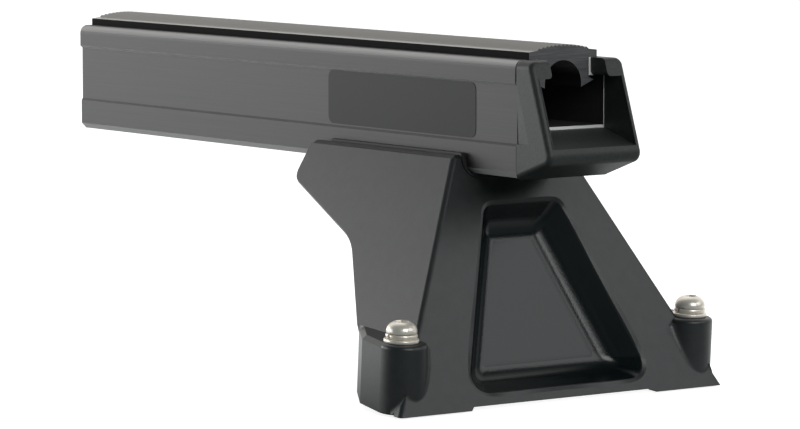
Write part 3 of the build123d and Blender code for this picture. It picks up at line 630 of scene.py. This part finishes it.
# Floor: a plain white sheet just under the base. It glows a little for the camera, so that it stays
# white round the part and still takes a soft shadow. In reflections it is white behind the part only.
floor_mesh = bpy.data.meshes.new("floor")
floor_half, floor_z = 30, -0.0012
floor_spots = [(x * floor_half, y * floor_half, floor_z) for x, y in ((-1, -1), (1, -1), (1, 1), (-1, 1))]
floor_mesh.from_pydata(floor_spots, [], [(0, 1, 2, 3)])
floor = bpy.data.objects.new("floor", floor_mesh)
bpy.context.scene.collection.objects.link(floor)
floor_look = bpy.data.materials.new("floor_white")
floor_look.use_nodes = True
floor_tree = floor_look.node_tree
floor_bsdf = floor_tree.nodes["Principled BSDF"]
floor_bsdf.inputs["Roughness"].default_value = 0.9
floor_bsdf.inputs["Specular IOR Level"].default_value = 0.0
floor_bsdf.inputs["Emission Color"].default_value = (1, 1, 1, 1)
floor_ray = floor_tree.nodes.new("ShaderNodeLightPath")
floor_glow = floor_tree.nodes.new("ShaderNodeMath")
floor_glow.operation = "MULTIPLY_ADD"
floor_glow.inputs[1].default_value = 0.85
floor_place = floor_tree.nodes.new("ShaderNodeTexCoord")
floor_far = floor_tree.nodes.new("ShaderNodeVectorMath")
floor_far.operation = "DOT_PRODUCT"
floor_far.inputs[1].default_value = (-0.8, 0.56, 0)
floor_fade = floor_tree.nodes.new("ShaderNodeMapRange")
floor_fade.inputs["From Min"].default_value = -0.03
floor_fade.inputs["From Max"].default_value = 0.12
floor_fade.inputs["To Max"].default_value = 0.95
floor_mirror = floor_tree.nodes.new("ShaderNodeMath")
floor_mirror.operation = "MULTIPLY"
floor_tree.links.new(floor_place.outputs["Object"], floor_far.inputs[0])
floor_tree.links.new(floor_far.outputs["Value"], floor_fade.inputs["Value"])
floor_tree.links.new(floor_fade.outputs["Result"], floor_mirror.inputs[0])
floor_tree.links.new(floor_ray.outputs["Is Glossy Ray"], floor_mirror.inputs[1])
floor_tree.links.new(floor_mirror.outputs["Value"], floor_glow.inputs[2])
floor_shade = floor_tree.nodes.new("ShaderNodeMix")
floor_shade.data_type = "RGBA"
floor_shade.inputs[6].default_value = (0.22, 0.25, 0.25, 1)
floor_shade.inputs[7].default_value = (0.8, 0.8, 0.8, 1)
floor_tree.links.new(floor_ray.outputs["Is Camera Ray"], floor_shade.inputs[0])
floor_tree.links.new(floor_shade.outputs[2], floor_bsdf.inputs["Base Color"])
floor_tree.links.new(floor_ray.outputs["Is Camera Ray"], floor_glow.inputs[0])
floor_tree.links.new(floor_glow.outputs["Value"], floor_bsdf.inputs["Emission Strength"])
floor_mesh.materials.append(floor_look)

# Light: a broad soft box behind the part at its left, smaller ones at its right, in front and overhead.
# The room is white behind the part and dark, faintly teal, on the camera's side, as in a product studio.
world = bpy.data.worlds.new("room")
bpy.context.scene.world = world
world.use_nodes = True
room_tree = world.node_tree
room = room_tree.nodes["Background"]
room_place = room_tree.nodes.new("ShaderNodeTexCoord")
room_dot = room_tree.nodes.new("ShaderNodeVectorMath")
room_dot.operation = "DOT_PRODUCT"
room_dot.inputs[1].default_value = (-0.80, 0.56, 0.22)
room_ramp = room_tree.nodes.new("ShaderNodeValToRGB")
room_ramp.color_ramp.elements[0].position = 0.25
room_ramp.color_ramp.elements[0].color = (0.020, 0.034, 0.036, 1)
room_ramp.color_ramp.elements[1].position = 0.65
room_ramp.color_ramp.elements[1].color = (1.0, 0.98, 0.95, 1)
room_tree.links.new(room_place.outputs["Generated"], room_dot.inputs[0])
room_tree.links.new(room_dot.outputs["Value"], room_ramp.inputs["Fac"])
room_tree.links.new(room_ramp.outputs["Color"], room.inputs["Color"])
for name, spot, aim, width, height, power in (
    ("left_box", (-1.40, -1.02, 0.25), (-0.08, 0, 0.06), 2.0, 0.9, 18),
    ("right_box", (0.98, 0.85, 0.72), (0, 0, 0.05), 0.9, 0.7, 3.4),
    ("top_box", (-0.5, 0.3, 1.5), (-0.1, 0, 0.06), 1.0, 1.0, 1.5),
    ("front_box", (1.40, -0.20, 0.78), (0, 0, 0.05), 0.9, 0.7, 8.5),
):
    lamp = bpy.data.lights.new(name, "AREA")
    lamp.shape = "RECTANGLE"
    lamp.size = width
    lamp.size_y = height
    lamp.energy = power
    lamp_object = bpy.data.objects.new(name, lamp)
    away = np.array(spot) - np.array(aim)
    away /= np.linalg.norm(away)
    across = np.cross((0.0, 0.0, 1.0), away)
    across /= np.linalg.norm(across)
    up = np.cross(away, across)
    stand = np.eye(4)
    stand[:3, 0], stand[:3, 1], stand[:3, 2], stand[:3, 3] = across, up, away, spot
    lamp_object.matrix_world = Matrix(stand.tolist())
    bpy.context.scene.collection.objects.link(lamp_object)

# Camera: a long lens on a tripod, a little above the part, at its outboard left corner. The columns of its
# frame point right, up and back, and the last is its place in metres.
camera = bpy.data.cameras.new("camera")
camera.lens = 191.93
camera.sensor_width = 36.0
camera.clip_end = 200
camera_object = bpy.data.objects.new("camera", camera)
view = np.eye(4)
view[:3, 0] = (0.58767, 0.80910, 0.0)
view[:3, 1] = (-0.07841, 0.05695, 0.99529)
view[:3, 2] = (0.80530, -0.58490, 0.09691)
view[:3, 3] = (1.1444, -0.8932, 0.2038)
camera_object.matrix_world = Matrix(view.tolist())
bpy.context.scene.collection.objects.link(camera_object)
bpy.context.scene.camera = camera_object
bpy.context.scene.view_settings.view_transform = "Standard"
